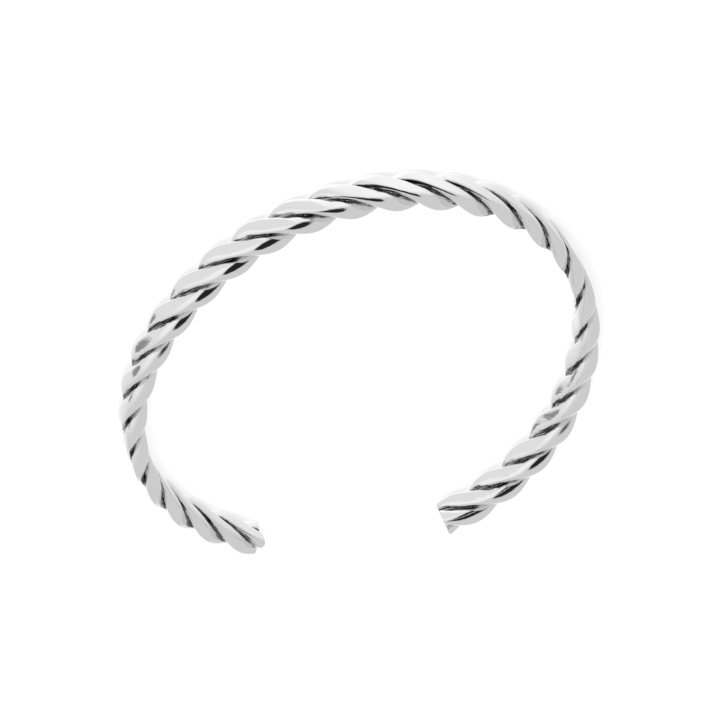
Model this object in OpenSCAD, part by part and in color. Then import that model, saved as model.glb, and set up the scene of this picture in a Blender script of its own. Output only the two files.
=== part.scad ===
// Open cuff bangle: three round wires twisted into a rope, rolled flat, cut square and bent
// to an almost round ring with a gap. It lies on its side, so the ring's axis stands upright.
// Millimetres, +Z up. The gap faces -Y. The origin is on the floor, under the middle of the ring.

/* [Ring] */
// Diameter of the ring, measured to the middle of the rope
ring_d = 60; // [52:0.5:70]
// Angle between the two cut ends, seen from the middle of the ring
gap_angle = 50; // [30:1:90]
// How much wider than long the hand-bent ring is, as a change of its radius
oval = 0.25; // [0:0.05:1.5]
// Height of the three soft corners that bending leaves
three_bend = 0.46; // [0:0.02:0.8]
// Where the first of the three corners stands, counted from the gap
three_bend_at = 38.5; // [0:0.5:120]
// Height of the four softer corners
four_bend = 0.17; // [0:0.01:0.4]
// Where the first of the four corners stands, counted from the gap
four_bend_at = 22.5; // [0:0.5:90]

/* [Rope] */
// Width of the rolled rope, along the ring's axis
rope_w = 6.15; // [5:0.05:8]
// Thickness of the rolled rope, from the wrist side to the outer side
rope_t = 2.8; // [2:0.05:3.6]
// Length of rope in which each wire goes around once
twist_pitch = 16.7; // [14:0.1:24]
// Turn of the first wire at the back of the ring, counted from the outer side
twist_start = 79; // [0:0.5:120]
// Radius of a wire before rolling, as a share of half the rope's width
wire_share = 0.47; // [0.47:0.01:0.55]
// How plane the rollers left the two faces: 0 squeezes them only, 1 makes them flat
rolled_flat = 0.85; // [0:0.05:0.9]
// Smallest clearance between neighbouring wires
wire_gap = 0.05; // [0.04:0.01:0.1]

/* [Ends] */
// Share of its width that the rope has lost at the cut ends
end_squeeze = 0.1; // [0:0.01:0.3]
// How suddenly the squeezing sets in: a higher power keeps it nearer the cut
end_power = 6; // [2:1:12]

/* [Hidden] */
wires = 3;
right_hand = -1;              // the turn falls as the rope runs on, which is a right-hand lay
rings = 151;                  // sections along a wire
arc_steps = 12;               // flat sides on the free, round part of a section
sides = arc_steps + 2;        // the round part's points and the one at the rope's core
back = 180;                   // the point of the ring opposite the gap
sector = 360 / wires / 2;     // half the angle that one wire fills

// Each row is a soft corner of the bent ring: how many there are, their height, where the first is
COUNT = 0;
HEIGHT = 1;
AT = 2;
bends = [
    [2, oval, 90],
    [3, three_bend, three_bend_at],
    [4, four_bend, four_bend_at],
];

// Distance from the ring's axis to the middle of the rope at angle t from the gap, and its slope
function ring_r(t) = ring_d / 2
    + sum([for (b = bends) b[HEIGHT] * cos(b[COUNT] * (t - b[AT]))]);
function ring_slope(t) =
    -sum([for (b = bends) b[COUNT] * b[HEIGHT] * sin(b[COUNT] * (t - b[AT]))]);

// Length of rope from the back of the ring to angle t
function rope_length(t) = ring_d / 2 * (t - back) * PI / 180
    + sum([for (b = bends) b[HEIGHT] / b[COUNT]
        * (sin(b[COUNT] * (t - b[AT])) - sin(b[COUNT] * (back - b[AT])))]);

function sum(v) = [for (x = v) 1] * v;
function unit(v) = v / norm(v);

// Middle of the rope and the outward direction across its wall, both seen from above
function middle(t) = ring_r(t) * [sin(t), -cos(t)];
function along(t) = unit(ring_slope(t) * [sin(t), -cos(t)] + ring_r(t) * [cos(t), sin(t)]);
function outward(t) = [along(t)[1], -along(t)[0]];

// One wire's section in a round rope of radius 1, before rolling. The neighbouring wires press
// two flats on it that meet at the rope's core, and the rest of it stays round.
wire_at = 1 - wire_share;
half_gap = wire_gap / rope_t;
flat_offset = wire_at * sin(sector) - half_gap;
corner_along = wire_at * cos(sector) + sqrt(pow(wire_share, 2) - pow(flat_offset, 2));
corner = corner_along * [cos(sector), sin(sector)] + half_gap * [sin(sector), -cos(sector)];
corner_turn = atan2(corner[1], corner[0] - wire_at);
core = [half_gap / sin(sector), 0];
section = concat(
    [core],
    [for (i = [0 : arc_steps])
        let (a = corner_turn * (2 * i / arc_steps - 1))
        [wire_at + wire_share * cos(a), wire_share * sin(a)]]
);

// Rolling squeezes the faces most where they stand out most
function rolled(n) = n * (1 + rolled_flat) / (1 + rolled_flat * n * n);

// Width left at angle t, which shrinks towards the two cut ends
function width_left(t) = 1 - end_squeeze * pow(abs(t - back) / (back - gap_angle / 2), end_power);

// A point of the unit section, turned to its place in the rope, rolled, and set on the ring
function wire_turn(t, turn) = twist_start + turn + right_hand * 360 * rope_length(t) / twist_pitch;
function rope_point(t, p, turn) =
    let (
        a = wire_turn(t, turn),
        across = rope_t / 2 * rolled(p[0] * cos(a) - p[1] * sin(a)),
        up = rope_w / 2 * width_left(t) * (p[0] * sin(a) + p[1] * cos(a)),
        place = middle(t) + across * outward(t)
    )
    [place[0], place[1], up];

function ring_angle(k) = gap_angle / 2 + k * (360 - gap_angle) / (rings - 1);
function wire_points(turn) =
    [for (k = [0 : rings - 1]) for (p = section) rope_point(ring_angle(k), p, turn)];

// The origin goes under the middle of the box around the whole ring
rope_points = [for (w = [0 : wires - 1]) each wire_points(w * 360 / wires)];
function middle_of(axis) = (min([for (p = rope_points) p[axis]]) + max([for (p = rope_points) p[axis]])) / 2;
floor_z = min([for (p = rope_points) p[2]]);
to_origin = -[middle_of(0), middle_of(1), floor_z];

// The skin between two sections. Both neighbours' flats are split from the core outwards, so that
// their facets stay parallel and never touch.
function skin(k, j) =
    let (
        next = (j + 1) % sides,
        a = k * sides + j,
        b = k * sides + next,
        c = (k + 1) * sides + next,
        d = (k + 1) * sides + j
    )
    next == 0 ? [[a, b, d], [b, c, d]] : [[a, b, c], [a, c, d]];
function cut_end(first, turned) =
    [for (j = [1 : sides - 2]) turned ? [first, first + j + 1, first + j] : [first, first + j, first + j + 1]];
wire_faces = concat(
    [for (k = [0 : rings - 2]) for (j = [0 : sides - 1]) each skin(k, j)],
    cut_end(0, true),
    cut_end((rings - 1) * sides, false)
);

module wire(number) {
    turn = number * 360 / wires;
    color("silver") translate(to_origin) polyhedron(wire_points(turn), wire_faces);
}

module strand_1() { wire(0); }
module strand_2() { wire(1); }
module strand_3() { wire(2); }

strand_1();
strand_2();
strand_3();
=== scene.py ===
# %% [markdown]
# # An open cuff bangle, twisted from three silver wires
#
# The packed part is the frame: three plain solids, one for each wire. This lesson dresses them as
# polished silver. Each wire is swept again, from the same named sizes as the solids but with many
# more points, so that a mirror finish runs over it without facets. Sizes are in millimetres while a
# shape is worked out, and in metres once it is an object.

import bpy
import numpy as np
from mathutils import Matrix, Vector


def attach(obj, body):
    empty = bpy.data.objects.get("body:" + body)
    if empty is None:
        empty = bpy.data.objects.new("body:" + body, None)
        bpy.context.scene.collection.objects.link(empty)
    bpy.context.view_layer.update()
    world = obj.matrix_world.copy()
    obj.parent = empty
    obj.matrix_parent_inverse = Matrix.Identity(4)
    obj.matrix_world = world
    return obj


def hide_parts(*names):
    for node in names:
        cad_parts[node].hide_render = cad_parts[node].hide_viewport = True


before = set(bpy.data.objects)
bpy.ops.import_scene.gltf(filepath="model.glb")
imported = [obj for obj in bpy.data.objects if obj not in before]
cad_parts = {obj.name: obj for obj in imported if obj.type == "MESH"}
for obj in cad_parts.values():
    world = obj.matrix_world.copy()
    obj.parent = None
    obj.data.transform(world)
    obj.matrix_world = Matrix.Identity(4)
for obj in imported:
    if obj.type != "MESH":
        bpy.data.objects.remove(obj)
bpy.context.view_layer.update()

MM = 0.001
print("nodes:", sorted(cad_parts))

# %% [markdown]
# ## The camera
#
# The photograph shows the closed side of the ring, with hardly any perspective, as through a long lens.
# The bangle stood on its two ends there. Here it lies on its side, so the camera keeps its angle to
# the bangle and is rolled instead, which leaves it well above the floor. The angles come from a fit
# of the solids' outline to the photograph's. They are kept as azimuth, elevation and roll, because
# those can be read and changed by hand, where a matrix of nine numbers can't.

# %% Camera
# The part's origin is on the floor under the middle of its box, and the ring's axis is a little beside it.
RING_CENTRE = Vector((0.42547, -1.2798, 3.07446))   # mm
AIM_FROM_CENTRE = Vector((-0.574, 2.140, 0.0))      # mm, to the point in the middle of the picture
AZIMUTH = -158.436                    # degrees, from the side that the gap faces
ELEVATION = 45.669
ROLL = 156.472
DISTANCE = 1665.13                    # mm
LENS = 649.18                         # mm
SENSOR_WIDTH = 36.0                   # mm
NEAREST = 0.1                         # m, what the camera sees nearest
FARTHEST = 20.0                       # m, and farthest


def direction(azimuth, elevation):
    """The way to a place at these angles in degrees, as a vector of length 1."""
    a, e = np.radians([azimuth, elevation])
    return Vector((np.sin(a) * np.cos(e), -np.cos(a) * np.cos(e), np.sin(e)))


def put_in_scene(name, data):
    """Makes an object from its data and links it to the scene."""
    made = bpy.data.objects.new(name, data)
    bpy.context.scene.collection.objects.link(made)
    return made


def place_camera():
    """Makes the camera at its distance from the aim point, upright first, then rolled."""
    data = bpy.data.cameras.new("camera")
    data.lens = LENS
    data.sensor_width = SENSOR_WIDTH
    data.clip_start = NEAREST
    data.clip_end = FARTHEST
    camera = put_in_scene("camera", data)
    back = direction(AZIMUTH, ELEVATION)
    upright = back.to_track_quat("Z", "Y").to_matrix().to_4x4()
    place = Matrix.Translation((RING_CENTRE + AIM_FROM_CENTRE + back * DISTANCE) * MM)
    camera.matrix_world = place @ upright @ Matrix.Rotation(np.radians(ROLL), 4, "Z")
    return camera


camera = place_camera()
bpy.context.scene.camera = camera
print("camera stands", round(camera.location.z / MM), "mm above the floor")

# %% [markdown]
# ## The ring's centre line
#
# The maker bends a straight length of rope round a former. A bent ring is never quite round: it is a
# little oval, and soft corners stay where the mallet fell. A curve object with a few handles could
# follow it. Here each of these is one cosine wave added to the radius, because a wave is smooth all
# round and has one height to change. Angles are counted from the gap, round to the gap again.

# %% Centre line of the rope
RING_DIAMETER = 60.0                  # mm, to the middle of the rope
GAP = np.radians(50.0)                # angle between the two cut ends
BACK = np.pi                          # the point of the ring opposite the gap
SOFT_CORNERS = (                      # how many there are, their height in mm, where the first one is
    (2, 0.25, np.radians(90.0)),
    (3, 0.46, np.radians(38.5)),
    (4, 0.17, np.radians(22.5)),
)


def ring_radius(t):
    """Distance from the ring's axis to the middle of the rope at angle t."""
    waves = sum(height * np.cos(count * (t - at)) for count, height, at in SOFT_CORNERS)
    return RING_DIAMETER / 2 + waves


def ring_slope(t):
    """How fast the radius grows with the angle."""
    return -sum(count * height * np.sin(count * (t - at)) for count, height, at in SOFT_CORNERS)


def rope_length(t):
    """Length of rope from the back of the ring to angle t."""
    waves = sum(height / count * (np.sin(count * (t - at)) - np.sin(count * (BACK - at)))
                for count, height, at in SOFT_CORNERS)
    return RING_DIAMETER / 2 * (t - BACK) + waves


def ring_frame(t):
    """Middle of the rope and the outward direction across its wall, as arrays of flat points."""
    radial = np.stack([np.sin(t), -np.cos(t)], 1)
    around = np.stack([np.cos(t), np.sin(t)], 1)
    middle = ring_radius(t)[:, None] * radial
    along = ring_slope(t)[:, None] * radial + ring_radius(t)[:, None] * around
    along /= np.linalg.norm(along, axis=1)[:, None]
    return middle, np.stack([along[:, 1], -along[:, 0]], 1)


CUT_ENDS = np.array([GAP / 2, 2 * np.pi - GAP / 2])
print("rope length in mm:", round(float(np.ptp(rope_length(CUT_ENDS))), 1))

# %% [markdown]
# ## One wire's section
#
# Three round wires that are twisted tightly press two flats on each other, which meet at the rope's
# core. The rest of each wire stays round. Plain circles could be swept instead, but circles that fill
# the rope as well as this would cut into each other. Where a flat runs out into the round part, the
# metal has a soft shoulder, and two of these shoulders make the thin groove between neighbouring
# wires. The section is drawn in a round rope of radius 1, as a core point, flat, shoulder, round part,
# shoulder and flat. A groove value rides along, which says how dark the groove is painted, partly
# tarnish and partly painted shade: 1 on the round part close to a shoulder, less and less further out,
# and about a half in the gap, which is dark anyway.

# %% Section of a wire
ROPE_WIDTH = 6.15                     # mm, along the ring's axis
ROPE_THICKNESS = 2.8                  # mm, from the wrist side to the outer side
WIRES = 3
WIRE_SHARE = 0.47                     # radius of a wire before rolling, as a share of half the rope
WIRE_GAP = 0.05                       # mm, between neighbouring wires before rolling
SHOULDER = 0.03                       # radius of the soft shoulder, as a share of half the rope
GROOVE_REACH = 0.68                   # how far the groove's darkness, tarnish and painted shade, reaches on to the open face, the same way
GROOVE_BOTTOM = 0.48                  # the groove value down in the gap: on the flats and shoulders
SECTOR = np.pi / WIRES                # half the angle that one wire fills
FLAT_POINTS = 4
SHOULDER_POINTS = 6
ROUND_POINTS = 44


def wire_section():
    """Points of the section, anticlockwise from the core, and the groove value of each."""
    at = 1 - WIRE_SHARE
    half_gap = WIRE_GAP / ROPE_THICKNESS
    to_flat = at * np.sin(SECTOR) - half_gap
    flat_way = np.array([np.cos(SECTOR), -np.sin(SECTOR)])       # the lower flat runs this way
    flat_out = np.array([-np.sin(SECTOR), -np.cos(SECTOR)])      # and faces this way
    middle = np.array([at, 0.0])
    reach = np.sqrt((WIRE_SHARE - SHOULDER) ** 2 - (to_flat - SHOULDER) ** 2)
    pivot = middle + flat_out * (to_flat - SHOULDER) + flat_way * reach
    core = np.array([half_gap / np.sin(SECTOR), 0.0])
    flat_end = pivot + flat_out * SHOULDER
    share = np.linspace(0, 1, FLAT_POINTS, endpoint=False)[1:, None]
    flat = core + (flat_end - core) * share
    start = np.arctan2(flat_out[1], flat_out[0])
    stop = np.arctan2(*(pivot - middle)[::-1])
    turn = np.linspace(start, stop, SHOULDER_POINTS)[:, None]
    shoulder = pivot + SHOULDER * np.hstack([np.cos(turn), np.sin(turn)])
    turn = np.linspace(stop, -stop, ROUND_POINTS + 2)[1:-1, None]
    round_part = middle + WIRE_SHARE * np.hstack([np.cos(turn), np.sin(turn)])
    lower = np.vstack([flat, shoulder])
    upper = lower[::-1] * [1, -1]
    points = np.vstack([core, lower, round_part, upper])
    from_shoulder = (abs(stop) - np.abs(turn[:, 0])) * WIRE_SHARE
    open_face = np.clip(1 - from_shoulder / GROOVE_REACH, 0, 1)
    hidden = np.full(len(lower), GROOVE_BOTTOM)
    groove = np.concatenate([[GROOVE_BOTTOM], hidden, open_face, hidden])
    return points, groove


def outline_facing(points):
    """Angle of the direction that the section's outline faces at each of its points."""
    onward = np.roll(points, -1, 0) - np.roll(points, 1, 0)
    return np.arctan2(-onward[:, 0], onward[:, 1])


SECTION, GROOVE = wire_section()
FACING = outline_facing(SECTION)
print("section points:", len(SECTION))

# %% [markdown]
# ## Twisting and rolling
#
# The wire's section turns round the rope's core as the rope runs on, once in each pitch, and the lay
# is right-handed. Rollers then squeeze the two faces, most where they stand out most. Near the cut
# ends the rope was held and is a little narrower. A curve with a bevel shape and a tilt could twist the
# section too, but rolling moves each point by an amount of its own, so the points are worked out here.

# %% Twist and roll
TWIST_PITCH = 16.7                    # mm of rope in which a wire goes round once
TWIST_START = np.radians(79.0)        # turn of the first wire at the back of the ring
ROLLED_FLAT = 0.85                    # how plane the rollers left the two faces
END_SQUEEZE = 0.1                     # share of its width that the rope has lost at the cuts
END_POWER = 6                         # how suddenly that sets in


def rolled(n):
    """Place across the wall after rolling, for a place n in the round rope."""
    return n * (1 + ROLLED_FLAT) / (1 + ROLLED_FLAT * n * n)


def width_left(t):
    """Share of the rope's width at angle t."""
    return 1 - END_SQUEEZE * (np.abs(t - BACK) / (BACK - GAP / 2)) ** END_POWER


def wire_turn(t, lag):
    """Turn of the wire round the rope's core at each angle t, counted from the outer face."""
    return (TWIST_START + lag - 2 * np.pi * rope_length(t) / TWIST_PITCH)[:, None]


def twisted(t, sections, lag):
    """Places in the round rope, across its wall and up, of the section points at each angle t."""
    turn = wire_turn(t, lag)
    x, y = sections[..., 0], sections[..., 1]
    return x * np.cos(turn) - y * np.sin(turn), x * np.sin(turn) + y * np.cos(turn)


def sweep(t, sections, lag):
    """Points of the wire in mm: one row of section points for each angle t."""
    wall, height = twisted(t, sections, lag)
    across = ROPE_THICKNESS / 2 * rolled(wall)
    up = ROPE_WIDTH / 2 * width_left(t)[:, None] * height
    middle, outward = ring_frame(t)
    flat = middle[:, None, :] + across[..., None] * outward[:, None, :]
    return np.concatenate([flat, up[..., None]], 2) + np.array(RING_CENTRE)


turns = float(np.ptp(rope_length(CUT_ENDS))) / TWIST_PITCH
print("turns of each wire:", round(turns, 1))

# %% [markdown]
# ## Tarnish and painted shade in the grooves
#
# Polishing takes tarnish off wherever the wheel reaches, and some stays in the grooves; the rest of
# their darkness is painted shade. More of it lies on the broad faces than at the narrow edges, and
# painted shade makes flanks that look down darker than those that look up. It could be painted on a
# picture, but a value at each point of the mesh follows the twist by itself.

# %% Tarnish and painted shade in the grooves
EDGE_DARK_SHARE = 0.70                      # share of the grooves' darkness, tarnish and painted shade, left at the narrow edges
UPPER_FLANK_DARK_SHARE = 0.70               # and on flanks that look up, as painted shade darkens the flanks that look down
SIDEWAYS = 0.5                        # how much a flank that faces sideways counts as looking down
TURN_DOWN = 0.8                       # how fast that grows as the flank turns down


def groove_darkness(t, sections, lag):
    """How dark each point is, partly tarnish and partly painted shade: its groove value, thinned at the
    narrow edges and on flanks that look up.
    """
    wall, height = twisted(t, sections, lag)
    broad_face = wall ** 2 / (wall ** 2 + height ** 2)
    # Painted shade: the groove's dark is deepened on flanks that look down, and thinned at the narrow
    # edges.
    down_flank_shade = np.clip(SIDEWAYS - TURN_DOWN * np.sin(FACING + wire_turn(t, lag)), 0, 1)
    face_weight = EDGE_DARK_SHARE + (1 - EDGE_DARK_SHARE) * broad_face
    return GROOVE * face_weight * (UPPER_FLANK_DARK_SHARE + (1 - UPPER_FLANK_DARK_SHARE) * down_flank_shade)


# The darkness at the cuts is partly tarnish and partly painted shade.
print("most dirt at a cut:", round(float(groove_darkness(CUT_ENDS, SECTION, 0).max()), 2))

# %% [markdown]
# ## Rings of points, with softened cut ends
#
# The rope is cut square, and the cut edge is filed just enough not to scratch. A Bevel modifier could
# round that edge. Here a few extra rings next to each cut shrink the section along a quarter circle,
# so that the wire stays one plain grid of four-sided faces right up to its cut ends.

# %% Rings along a wire
RINGS = 900                           # rings of points from one filed edge to the other
EDGE = 0.35                           # mm, radius of the filed edge
EDGE_STEPS = 5                        # extra rings at each cut that round it
SECTION_SIZE = 1.25                   # mm, about how far the section's rim is from its middle


def ring_places():
    """Angle of each ring of points, and how much the section has shrunk there."""
    step = np.linspace(0, np.pi / 2, EDGE_STEPS + 1)
    depth = EDGE * (1 - np.cos(step)) / RING_DIAMETER * 2
    shrink = EDGE * (1 - np.sin(step)) / SECTION_SIZE
    first, last = CUT_ENDS
    inner = np.linspace(first + depth[-1], last - depth[-1], RINGS)[1:-1]
    angles = np.concatenate([first + depth, inner, last - depth[::-1]])
    shrinks = np.concatenate([shrink, np.zeros(RINGS - 2), shrink[::-1]])
    return angles, shrinks


ANGLES, SHRINKS = ring_places()
SECTION_MIDDLE = SECTION.mean(0)
SECTIONS = SECTION_MIDDLE + (SECTION - SECTION_MIDDLE) * (1 - SHRINKS)[:, None, None]
print("rings along a wire:", len(ANGLES))

# %% [markdown]
# ## From points to a mesh
#
# Neighbouring rings are joined with four-sided faces, and each cut end is a fan round its middle. A
# curve with a bevel would give such a skin at once, but it couldn't carry a value for each point. The
# fans stay flat shaded, so the cut face looks plane and the filed edge round. The mesh carries the
# darkness in the grooves, partly tarnish and partly painted shade, as an attribute and the place on
# the wire, in millimetres along and around, as a UV map. The UV seam runs along the core, where
# nobody can see it.

# %% Mesh of a wire
def wire_mesh(name, lag):
    """Builds one wire as a closed mesh, in metres."""
    rows, columns = len(ANGLES), len(SECTION)
    points = sweep(ANGLES, SECTIONS, lag)
    ends = sweep(CUT_ENDS, np.tile(SECTION_MIDDLE, (2, 1, 1)), lag)
    vertices = np.vstack([points.reshape(-1, 3), ends.reshape(-1, 3)]) * MM
    index = np.arange(rows * columns).reshape(rows, columns)
    ahead = np.roll(index, -1, 1)
    skin = np.stack([index[:-1], index[1:], ahead[1:], ahead[:-1]], 2).reshape(-1, 4)
    first, last = rows * columns, rows * columns + 1
    caps = [(first, a, b) for a, b in zip(index[0], ahead[0])]
    caps += [(last, b, a) for a, b in zip(index[-1], ahead[-1])]
    mesh = bpy.data.meshes.new(name)
    mesh.from_pydata(vertices.tolist(), [], skin.tolist() + caps)
    mesh.polygons.foreach_set("use_smooth", [True] * len(skin) + [False] * len(caps))
    groove = mesh.attributes.new("groove", "FLOAT", "POINT")
    # Darkness in the grooves: partly tarnish, partly painted shade.
    darkening = groove_darkness(ANGLES, SECTIONS, lag)
    groove.data.foreach_set("value", np.concatenate([darkening.ravel(), [0.0, 0.0]]))
    return mesh, skin


def lay_uv(mesh, skin):
    """UV in mm: along the rope, and around the wire's section."""
    size = np.array([ROPE_THICKNESS, ROPE_WIDTH]) / 2
    sides = np.linalg.norm((np.roll(SECTION, -1, 0) - SECTION) * size, axis=1)
    around = np.concatenate([[0], np.cumsum(sides)])
    columns = len(SECTION)
    column = skin % columns
    # The face that closes a ring ends the whole way around, not back at the start
    column[:, 2:] = np.where(column[:, 2:] == 0, columns, column[:, 2:])
    along = rope_length(ANGLES)[skin // columns]
    corners = np.stack([along, around[column]], 2).reshape(-1, 2)
    caps = np.zeros((len(mesh.loops) - len(corners), 2))
    uv = mesh.uv_layers.new(name="wire_mm")
    uv.data.foreach_set("uv", np.vstack([corners, caps]).ravel())


print("points of a wire:", len(ANGLES) * len(SECTION) + 2)

# %% The three wires
def make_wire(number):
    """Makes the wire with this number, counted from 1, and lets it stand for its solid."""
    name = f"wire_{number}"
    mesh, skin = wire_mesh(name, 2 * np.pi * (number - 1) / WIRES)
    lay_uv(mesh, skin)
    mesh.validate()
    wire = put_in_scene(name, mesh)
    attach(wire, "root")
    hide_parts(f"strand_{number}")
    return wire


wires = [make_wire(number) for number in range(1, WIRES + 1)]
for wire in wires:
    print(wire.name, "triangles:", sum(len(p.vertices) - 2 for p in wire.data.polygons))

# %% [markdown]
# ## Shader values as expressions
#
# A finish is a sum of many small effects, and a sum reads best as a sum. The class below wraps one
# socket, so that `1 - groove * 0.7` adds the two Math nodes it needs. Its `node` method adds any other
# kind of node. Colours and directions go through Mix and Vector Math nodes, because a Math node would
# turn a colour grey.

# %% Shader maths
MIX_FACTOR, MIX_LOW, MIX_HIGH = 0, 6, 7    # inputs of a Mix node that mixes colours
MIX_COLOUR = 2                             # and its output


class Value:
    """A value that changes over a surface. A blank one, made from a node tree, starts an expression."""

    def __init__(self, tree, socket=None):
        self.tree = tree
        self.socket = socket

    def node(self, kind, settings=None, sockets=None, output=0):
        """Adds a node: its settings first, then the values or links of its sockets."""
        made = self.tree.nodes.new(kind)
        for name, setting in (settings or {}).items():
            setattr(made, name, setting)
        for name, value in (sockets or {}).items():
            socket = made.inputs[name]
            if isinstance(value, Value):
                self.tree.links.new(value.socket, socket)
            else:
                socket.default_value = value
        return Value(self.tree, made.outputs[output] if made.outputs else None)

    def math(self, operation, *values):
        """Adds a Math node that works on these values."""
        return self.node("ShaderNodeMath", {"operation": operation}, dict(enumerate(values)))

    def __add__(self, other):
        return self.math("ADD", self, other)

    def __sub__(self, other):
        return self.math("SUBTRACT", self, other)

    def __rsub__(self, other):
        return self.math("SUBTRACT", other, self)

    def __mul__(self, other):
        return self.math("MULTIPLY", self, other)

    def __truediv__(self, other):
        return self.math("DIVIDE", self, other)

    def __pow__(self, other):
        return self.math("POWER", self, other)

    __radd__ = __add__
    __rmul__ = __mul__

    def step(self, start, stop):
        """0 where the value is at start, 1 where it is at stop, and smooth between them."""
        return self.node("ShaderNodeMapRange", {"interpolation_type": "SMOOTHSTEP"},
                         {"Value": self, "From Min": start, "From Max": stop})

    def blend(self, low, high):
        """A colour that goes from low to high with this value."""
        return self.node("ShaderNodeMix", {"data_type": "RGBA"},
                         {MIX_FACTOR: self, MIX_LOW: low, MIX_HIGH: high}, MIX_COLOUR)

    def stretched(self, scale):
        """This vector, stretched by three numbers."""
        return self.node("ShaderNodeVectorMath", {"operation": "MULTIPLY"}, {0: self, 1: scale})

    def dot(self, fixed):
        """How much of this vector lies along a fixed one."""
        return self.node("ShaderNodeVectorMath", {"operation": "DOT_PRODUCT"},
                         {0: self, 1: fixed}, "Value")

    def noise(self, grain, detail):
        """Cloudy noise from 0 to 1 at this place. Grain is how many clouds one unit of each axis holds."""
        return self.node("ShaderNodeTexNoise", {},
                         {"Vector": self.stretched(grain), "Scale": 1.0, "Detail": detail})


def cleared(owner):
    """Empties the nodes of a material or world, and gives the blank value to start from."""
    owner.use_nodes = True
    owner.node_tree.nodes.clear()
    return Value(owner.node_tree)


print("what a value can do:", sorted(name for name in vars(Value) if not name.startswith("_")))

# %% [markdown]
# ## Polished silver
#
# The open faces are buffed bright. They still keep a faint waviness from rolling, and hair lines from
# the buffing wheel, which runs along the wires. The grooves are dark, ragged and streaky: partly a film
# of tarnish and old polish that the wheel doesn't reach, partly painted shade. The dark is thinnest at
# the rope's narrow edges. Metal is all reflection, so colour and roughness carry the finish.
# Waves and hair lines are so shallow that one bump gives them, where a finer mesh would be heavy.

# %% Silver
SILVER = (0.86, 0.86, 0.862, 1.0)
# Colour of the grooves' dark: partly tarnish, partly painted shade
TARNISH_AND_SHADE = (0.03, 0.028, 0.026, 1.0)
WAVE_HEIGHT = 0.050                   # mm
HAIR_LINE_HEIGHT = 0.010              # mm
RAGGEDNESS = 0.55                     # how far noise moves the edge of the grooves' dark film
CLEAN, FILMED = 0.42, 0.58            # groove darkness, tarnish and painted shade, where the dark film starts and where it is complete
THIN_FILM = 0.45                      # darkness of the film where a streak has worn it thin
WORN, WHOLE = 0.36, 0.52              # streak noise where the film is thin and where it is whole
BUFFED = 0.035                        # roughness of the cleanest silver
HAZE_ROUGHNESS = 0.05                 # what buffing haze adds to it
FILM_ROUGHNESS = 0.22                 # and what the dark film adds
# Clouds of noise in a mm, along the wire and around it
RAGGED_GRAIN = (0.7, 1.6, 0.0)
STREAK_GRAIN = (0.45, 6.0, 0.0)
HAZE_GRAIN = (0.2, 7.0, 0.0)
HAIR_LINE_GRAIN = (0.4, 4.0, 0.0)
WAVE_GRAIN = (0.30, 0.55, 0.0)


def polished_silver():
    """The one finish of all three wires."""
    finish = bpy.data.materials.new("polished_silver")
    blank = cleared(finish)
    place = blank.node("ShaderNodeUVMap", {"uv_map": "wire_mm"})
    groove = blank.node("ShaderNodeAttribute", {"attribute_name": "groove"}, {}, "Fac")
    ragged = place.noise(RAGGED_GRAIN, detail=2.0)
    streaks = place.noise(STREAK_GRAIN, detail=2.0)
    # The dark film in the grooves: tarnish and painted shade, ragged and streaky
    film = (groove + RAGGEDNESS * (ragged - 0.5)).step(CLEAN, FILMED)
    dark = film * (THIN_FILM + (1 - THIN_FILM) * streaks.step(WORN, WHOLE))
    haze = place.noise(HAZE_GRAIN, detail=4.0)
    roughness = BUFFED + HAZE_ROUGHNESS * haze + FILM_ROUGHNESS * dark
    wave = place.noise(WAVE_GRAIN, detail=1.0)
    hair_lines = place.noise(HAIR_LINE_GRAIN, detail=2.0)
    height = WAVE_HEIGHT * wave + HAIR_LINE_HEIGHT * hair_lines
    relief = blank.node("ShaderNodeBump", {}, {"Strength": 1.0, "Distance": MM, "Height": height})
    shader = blank.node("ShaderNodeBsdfPrincipled", {}, {
        "Base Color": dark.blend(SILVER, TARNISH_AND_SHADE), "Metallic": 1.0, "Roughness": roughness,
        "Normal": relief})
    blank.node("ShaderNodeOutputMaterial", {}, {"Surface": shader})
    return finish


finish = polished_silver()
for wire in wires:
    wire.data.materials.append(finish)
print("silver nodes:", len(finish.node_tree.nodes))

# %% [markdown]
# ## The floor
#
# Small silver is often photographed on a light table: a white board that glows a little, so that the
# ground stays white and the shadow round the piece stays pale. A plain board would have to be lit until
# it looks white, and its shadow would be darker. The floor here glows. It is left out of reflections:
# in the photograph the bangle stood on its two ends, and its faces mirrored the white tent around it
# rather than the table.

# %% Floor
FLOOR_SIDE = 3.0                      # m
FLOOR_GLOW = 0.68                     # strength of the board's own light
FLOOR_WHITE = 0.35                    # share of other light that it gives back
FLOOR_ROUGHNESS = 0.8
FLOOR_SHINE = 0.2                     # specular level


def grey(tone):
    """A grey of this tone as a colour, black at 0 and white at 1."""
    return (tone, tone, tone, 1.0)


def white_board():
    """The floor's finish: matt white that glows."""
    finish = bpy.data.materials.new("white_board")
    blank = cleared(finish)
    shader = blank.node("ShaderNodeBsdfPrincipled", {}, {
        "Base Color": grey(FLOOR_WHITE), "Roughness": FLOOR_ROUGHNESS, "Specular IOR Level": FLOOR_SHINE,
        "Emission Color": grey(1.0), "Emission Strength": FLOOR_GLOW})
    blank.node("ShaderNodeOutputMaterial", {}, {"Surface": shader})
    return finish


def floor():
    """Makes the square board, at height 0."""
    half = FLOOR_SIDE / 2
    corners = [(-half, -half, 0), (half, -half, 0), (half, half, 0), (-half, half, 0)]
    mesh = bpy.data.meshes.new("floor")
    mesh.from_pydata(corners, [], [(0, 1, 2, 3)])
    mesh.materials.append(white_board())
    board = put_in_scene("floor", mesh)
    board.visible_glossy = False
    return board


board = floor()
print("floor in m:", board.dimensions[:])

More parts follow.
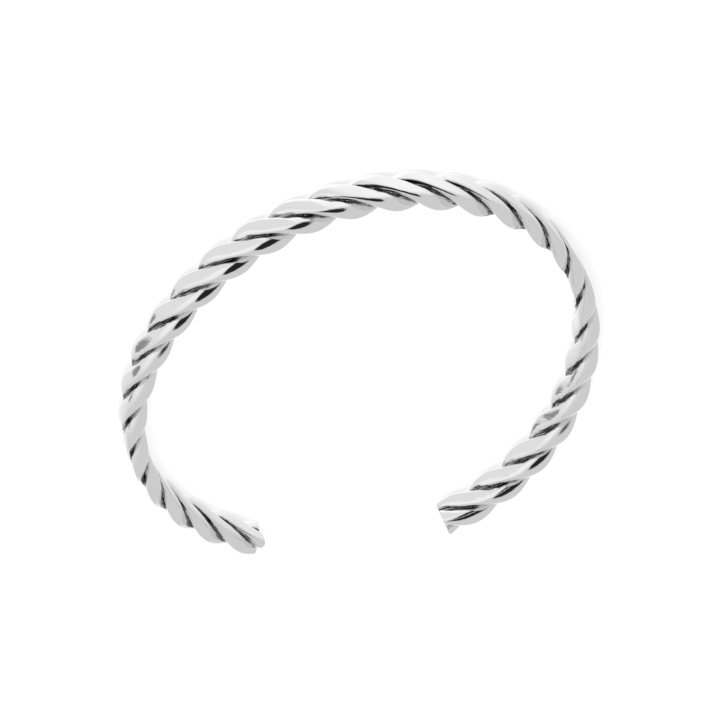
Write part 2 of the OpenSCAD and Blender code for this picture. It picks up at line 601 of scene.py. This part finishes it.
# %% [markdown]
# ## The light tent
#
# A mirror shows its surroundings, so the surroundings are the look. Around the bangle is an even, pale
# tent, which the silver also mirrors below the floor's level. Down there it is brighter, with three
# lamps behind the cloth, and one stretch is duller, with a crisp edge. One dark opening, which has the
# camera at its edge, makes the dark crescents on the wires. There is a small grey card too. Lamps and
# cards could be objects round the bangle, but a tone for each direction is simpler, and it moves with
# one number. It can't tell a near card from a far one, so all wires mirror it alike. Each of these
# things is an ellipse on the tent, and the direction of its middle is in the same angles as the
# camera's place. Move one by a few degrees, and its reflection moves along every wire.

# %% Light tent
TENT = 0.70                           # tone of the cloth
LOWER_TENT = 0.45                     # how much brighter it is far down
LOWER_FROM = -30                      # degrees of elevation where that starts
LOWER_FULL = -70                      # and where it is complete


def cloth(way):
    """Tone of the bare cloth in each direction."""
    elevation = way.math("ARCSINE", way.dot(direction(0, 90)))
    return TENT + LOWER_TENT * elevation.step(*np.radians([LOWER_FROM, LOWER_FULL]))


def patch(way, azimuth, elevation, half_width, half_height, tilt, softness):
    """1 inside an ellipse on the tent, 0 outside. Angles are degrees, softness is a share of the size."""
    ahead = way.dot(direction(azimuth, elevation))
    beside = way.dot(direction(azimuth + 90, 0))
    above = way.dot(direction(azimuth, elevation + 90))
    x = way.math("ARCTAN2", beside, ahead)
    y = way.math("ARCSINE", above)
    turn = np.radians(tilt)
    along = (x * np.cos(turn) + y * np.sin(turn)) / np.radians(half_width)
    aside = (y * np.cos(turn) - x * np.sin(turn)) / np.radians(half_height)
    return 1 - ((along * along + aside * aside) ** 0.5).step(1 - softness, 1 + softness)


print("tones of the cloth, level and far down:", TENT, round(TENT + LOWER_TENT, 2))

# %% Lamps, opening and card
WIDE_LAMP = 0.30                      # light that each lamp adds to the cloth
TALL_LAMP = 0.35
SIDE_LAMP = 0.25
DULL_CLOTH = 0.85                     # tones that these three show
OPENING = 0.02
GREY_CARD = 0.30


def lamp_glow(way):
    """Light that the three lamps behind the cloth add."""
    wide = patch(way, azimuth=-130, elevation=-30, half_width=45, half_height=30, tilt=5, softness=0.9)
    tall = patch(way, azimuth=20, elevation=-25, half_width=20, half_height=25, tilt=-25, softness=0.9)
    side = patch(way, azimuth=145, elevation=-40, half_width=25, half_height=10, tilt=10, softness=0.9)
    return WIDE_LAMP * wide + TALL_LAMP * tall + SIDE_LAMP * side


def covered(way, tone):
    """This tone of the tent, with the dull cloth, the opening and the card in front of it."""
    dull = patch(way, azimuth=-110, elevation=-55, half_width=45, half_height=15, tilt=0, softness=0.1)
    opening = patch(way, azimuth=-175, elevation=10, half_width=40, half_height=30, tilt=50, softness=0.2)
    card = patch(way, azimuth=-60, elevation=-45, half_width=8, half_height=4, tilt=0, softness=0.2)
    for cover, shown in ((dull, DULL_CLOTH), (opening, OPENING), (card, GREY_CARD)):
        tone = tone * (1 - cover) + shown * cover
    return tone


def light_tent():
    """The world: the tent for the silver, and plain white where the camera looks past the floor."""
    world = bpy.data.worlds.new("light_tent")
    bpy.context.scene.world = world
    blank = cleared(world)
    way = blank.node("ShaderNodeTexCoord", {}, {}, "Generated")
    tone = covered(way, cloth(way) + lamp_glow(way))
    looked_at = blank.node("ShaderNodeLightPath", {}, {}, "Is Camera Ray")
    strength = tone * (1 - looked_at) + looked_at
    background = blank.node("ShaderNodeBackground", {}, {"Color": grey(1.0), "Strength": strength})
    blank.node("ShaderNodeOutputWorld", {}, {"Surface": background})
    return world


print("tent nodes:", len(light_tent().node_tree.nodes))

# %% [markdown]
# ## One lamp above
#
# The tent lights the board from all sides. One square lamp above adds a pale, soft shadow: a larger or
# nearer one would soften it more. The lamp is left out of the silver, because the tent's own tones
# already say what is mirrored.

# %% Lamp
LAMP_AZIMUTH = -143.0                 # degrees, a little beside the camera and higher
LAMP_ELEVATION = 55.0
LAMP_DISTANCE = 1.0                   # m
LAMP_SIDE = 0.4                       # m
LAMP_POWER = 6.3                      # W


def shadow_lamp():
    """Makes a square lamp that looks at the part's origin."""
    data = bpy.data.lights.new("shadow_lamp", "AREA")
    data.shape = "SQUARE"
    data.size = LAMP_SIDE
    data.energy = LAMP_POWER
    toward = direction(LAMP_AZIMUTH, LAMP_ELEVATION)
    lamp = put_in_scene("shadow_lamp", data)
    lamp.location = toward * LAMP_DISTANCE
    lamp.rotation_euler = toward.to_track_quat("Z", "Y").to_euler()
    lamp.visible_glossy = False
    return lamp


print("lamp in m:", shadow_lamp().location[:])
# The picture shows these tones as they are, without a film's curve
bpy.context.scene.view_settings.view_transform = "Standard"

# %% [markdown]
# ## Sizes
#
# The dressed part has to fill the same box as the solids.
